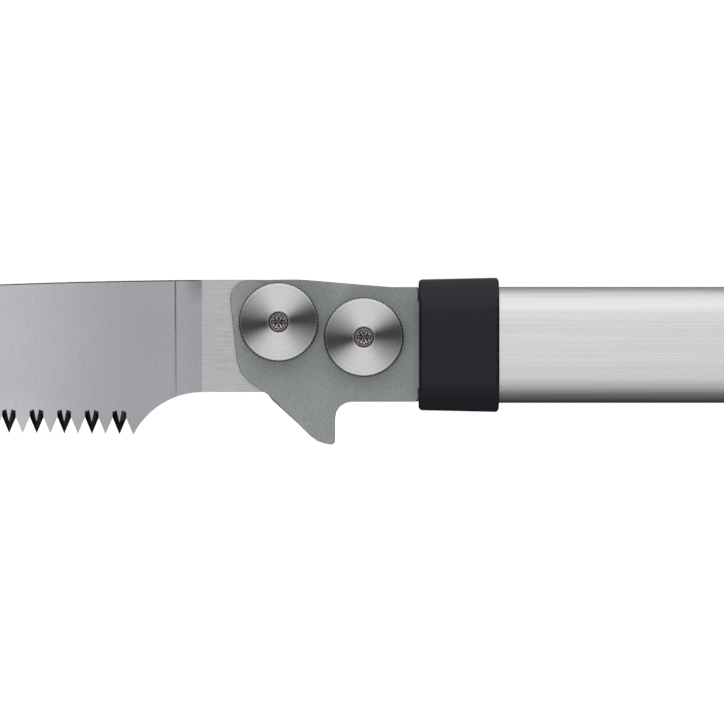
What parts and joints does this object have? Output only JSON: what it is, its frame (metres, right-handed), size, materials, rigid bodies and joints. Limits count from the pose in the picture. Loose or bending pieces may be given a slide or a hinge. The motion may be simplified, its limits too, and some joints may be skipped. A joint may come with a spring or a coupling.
{
  "type": "telescoping pole saw",
  "caption": "Pruning saw blade clamped by hand knobs to a hooked bracket on a telescoping oval aluminium pole with cam lever locks.",
  "frame": {"origin": "centre of the flat butt end of the end cap, on the pole's axis", "axes": "+X out of the butt along the pole, blade towards -X with its teeth towards -Y, +Z out of the side with the hand knobs"},
  "size_m": [1.7845, 0.0777, 0.0511],
  "materials": {
    "blade_steel": "ground",
    "plate_grey": "matt metallic grey",
    "turned_steel": "face turned",
    "black_plastic": "matt",
    "pole_aluminium": "satin anodised, drawn lengthwise",
    "grey_nylon": "moulded",
    "black_rubber": "matt",
    "zinc_steel": "zinc plated"
  },
  "bodies": {
    "head": {"saw_blade": "blade_steel", "near_side_plate": "plate_grey", "far_side_plate": "plate_grey", "spacer_plate": "plate_grey", "near_packer": "grey_nylon", "far_packer": "grey_nylon", "front_cross_pin": "zinc_steel", "rear_cross_pin": "zinc_steel", "front_clamp_bolt": "zinc_steel", "rear_clamp_bolt": "zinc_steel", "head_collar": "black_plastic", "inner_pole": "pole_aluminium", "inner_end_plug": "grey_nylon"},
    "front_washer_lift": {"front_washer": "zinc_steel"},
    "front_knob": {"front_knob": "turned_steel"},
    "rear_washer_lift": {"rear_washer": "zinc_steel"},
    "rear_knob": {"rear_knob": "turned_steel"},
    "middle_section": {"middle_pole": "pole_aluminium", "middle_end_plug": "grey_nylon", "upper_lock_housing": "black_plastic", "upper_glide_ring": "grey_nylon", "upper_cam_washer": "grey_nylon", "upper_draw_bolt": "zinc_steel", "upper_draw_nut": "zinc_steel", "upper_rocker_pin": "zinc_steel", "upper_rocker_spring": "zinc_steel", "upper_lock_front_screw": "zinc_steel", "upper_lock_rear_screw": "zinc_steel"},
    "outer_section": {"outer_pole": "pole_aluminium", "end_cap": "black_rubber", "grip_sleeve": "black_rubber", "top_cap_screw": "zinc_steel", "bottom_cap_screw": "zinc_steel", "lower_lock_housing": "black_plastic", "lower_glide_ring": "grey_nylon", "lower_cam_washer": "grey_nylon", "lower_draw_bolt": "zinc_steel", "lower_draw_nut": "zinc_steel", "lower_rocker_pin": "zinc_steel", "lower_rocker_spring": "zinc_steel", "lower_lock_front_screw": "zinc_steel", "lower_lock_rear_screw": "zinc_steel"},
    "upper_lever": {"upper_cam_lever": "black_plastic", "upper_cam_pin": "zinc_steel"},
    "upper_rocker": {"upper_release_rocker": "black_plastic", "upper_detent_pin": "zinc_steel"},
    "lower_lever": {"lower_cam_lever": "black_plastic", "lower_cam_pin": "zinc_steel"},
    "lower_rocker": {"lower_release_rocker": "black_plastic", "lower_detent_pin": "zinc_steel"}
  },
  "joints": [
    {"name": "front_knob_lift", "type": "slide", "parent": "head", "child": "front_washer_lift", "axis": [0, 0, 1], "range_m": [0, 0.002]},
    {"name": "front_knob_turn", "type": "hinge", "parent": "front_washer_lift", "child": "front_knob", "pos_m": [-1.3449, 0.0075, 0.006], "axis": [0, 0, 1], "range_deg": [0, 720]},
    {"name": "rear_knob_lift", "type": "slide", "parent": "head", "child": "rear_washer_lift", "axis": [0, 0, 1], "range_m": [0, 0.002]},
    {"name": "rear_knob_turn", "type": "hinge", "parent": "rear_washer_lift", "child": "rear_knob", "pos_m": [-1.3167, 0.0025, 0.006], "axis": [0, 0, 1], "range_deg": [0, 720]},
    {"name": "middle_section_slide", "type": "slide", "parent": "head", "child": "middle_section", "axis": [1, 0, 0], "range_m": [0, 0.842]},
    {"name": "outer_section_slide", "type": "slide", "parent": "middle_section", "child": "outer_section", "axis": [1, 0, 0], "range_m": [0, 0.729]},
    {"name": "upper_lever_hinge", "type": "hinge", "parent": "middle_section", "child": "upper_lever", "pos_m": [-1.1259, -0.0338, 0.0169], "axis": [0, -1, 0], "range_deg": [0, 150]},
    {"name": "upper_rocker_hinge", "type": "hinge", "parent": "middle_section", "child": "upper_rocker", "pos_m": [-1.0899, 0, 0.023], "axis": [0, -1, 0], "range_deg": [0, 6], "stiffness_Nm_per_rad": 0.5, "springref_deg": -11.46, "deforming": ["upper_rocker_spring"]},
    {"name": "lower_lever_hinge", "type": "hinge", "parent": "outer_section", "child": "lower_lever", "pos_m": [-0.9859, -0.0358, 0.0169], "axis": [0, -1, 0], "range_deg": [0, 150]},
    {"name": "lower_rocker_hinge", "type": "hinge", "parent": "outer_section", "child": "lower_rocker", "pos_m": [-0.9499, 0, 0.025], "axis": [0, -1, 0], "range_deg": [0, 6], "stiffness_Nm_per_rad": 0.5, "springref_deg": -11.46, "deforming": ["lower_rocker_spring"]}
  ],
  "couplings": [
    {"joint": "front_knob_turn", "follows": "front_knob_lift", "rad_per_m": 6283.2},
    {"joint": "rear_knob_turn", "follows": "rear_knob_lift", "rad_per_m": 6283.2}
  ]
}
